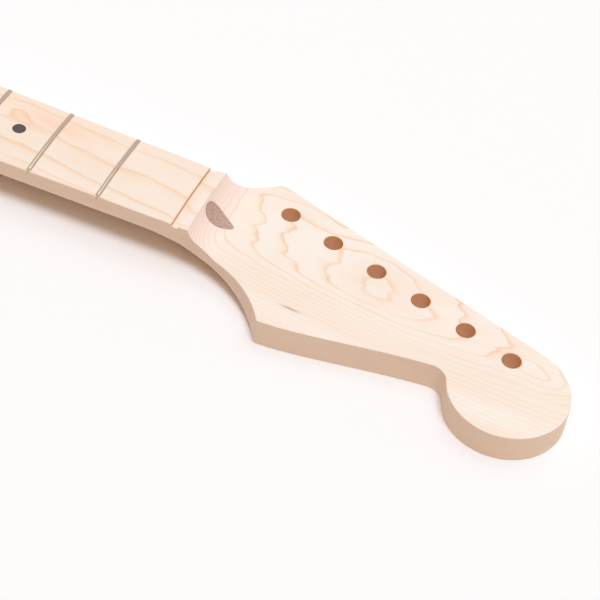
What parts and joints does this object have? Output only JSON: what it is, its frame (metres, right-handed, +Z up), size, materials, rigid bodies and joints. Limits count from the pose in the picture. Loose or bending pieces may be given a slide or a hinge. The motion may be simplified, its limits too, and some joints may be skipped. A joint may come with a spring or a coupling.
{
  "type": "electric guitar neck",
  "caption": "Bolt-on one-piece maple electric guitar neck with crowned board, frets, dot inlays, adjustable truss rod and a bare in-line headstock.",
  "frame": {"origin": "middle of the heel's four-screw pattern, on the heel's back face", "axes": "+X along the neck towards the headstock, +Y to the bass side, +Z up through the board; the backs of the heel and of the headstock both lie at z = 0"},
  "size_m": [0.6533, 0.0954, 0.0265],
  "materials": {
    "maple": "bare, sanded",
    "walnut": "bare, sanded",
    "inlay_black": "sanded flush",
    "nickel_silver": "polished nickel silver",
    "steel": "plain machined steel"
  },
  "bodies": {
    "neck": {"neck_blank": "maple", "fret_01": "nickel_silver", "fret_02": "nickel_silver", "fret_03": "nickel_silver", "fret_04": "nickel_silver", "fret_05": "nickel_silver", "fret_06": "nickel_silver", "fret_07": "nickel_silver", "fret_08": "nickel_silver", "fret_09": "nickel_silver", "fret_10": "nickel_silver", "fret_11": "nickel_silver", "fret_12": "nickel_silver", "fret_13": "nickel_silver", "fret_14": "nickel_silver", "fret_15": "nickel_silver", "fret_16": "nickel_silver", "fret_17": "nickel_silver", "fret_18": "nickel_silver", "fret_19": "nickel_silver", "fret_20": "nickel_silver", "fret_21": "nickel_silver", "face_dot_03": "inlay_black", "face_dot_05": "inlay_black", "face_dot_07": "inlay_black", "face_dot_09": "inlay_black", "face_dot_12_a": "inlay_black", "face_dot_12_b": "inlay_black", "face_dot_15": "inlay_black", "face_dot_17": "inlay_black", "face_dot_19": "inlay_black", "face_dot_21": "inlay_black", "side_dot_03": "inlay_black", "side_dot_05": "inlay_black", "side_dot_07": "inlay_black", "side_dot_09": "inlay_black", "side_dot_12_a": "inlay_black", "side_dot_12_b": "inlay_black", "side_dot_15": "inlay_black", "side_dot_17": "inlay_black", "side_dot_19": "inlay_black", "side_dot_21": "inlay_black", "truss_rod": "steel", "truss_rod_fillet": "walnut", "headstock_plug": "walnut", "truss_rod_anchor": "steel", "truss_rod_washer": "steel"},
    "adjuster": {"truss_rod_nut": "steel"}
  },
  "joints": [
    {"name": "truss_rod_nut_turn", "type": "hinge", "parent": "neck", "child": "adjuster", "pos_m": [-0.029, 0, 0.0127], "axis": [1, 0, 0], "range_deg": [-300, 300]}
  ]
}
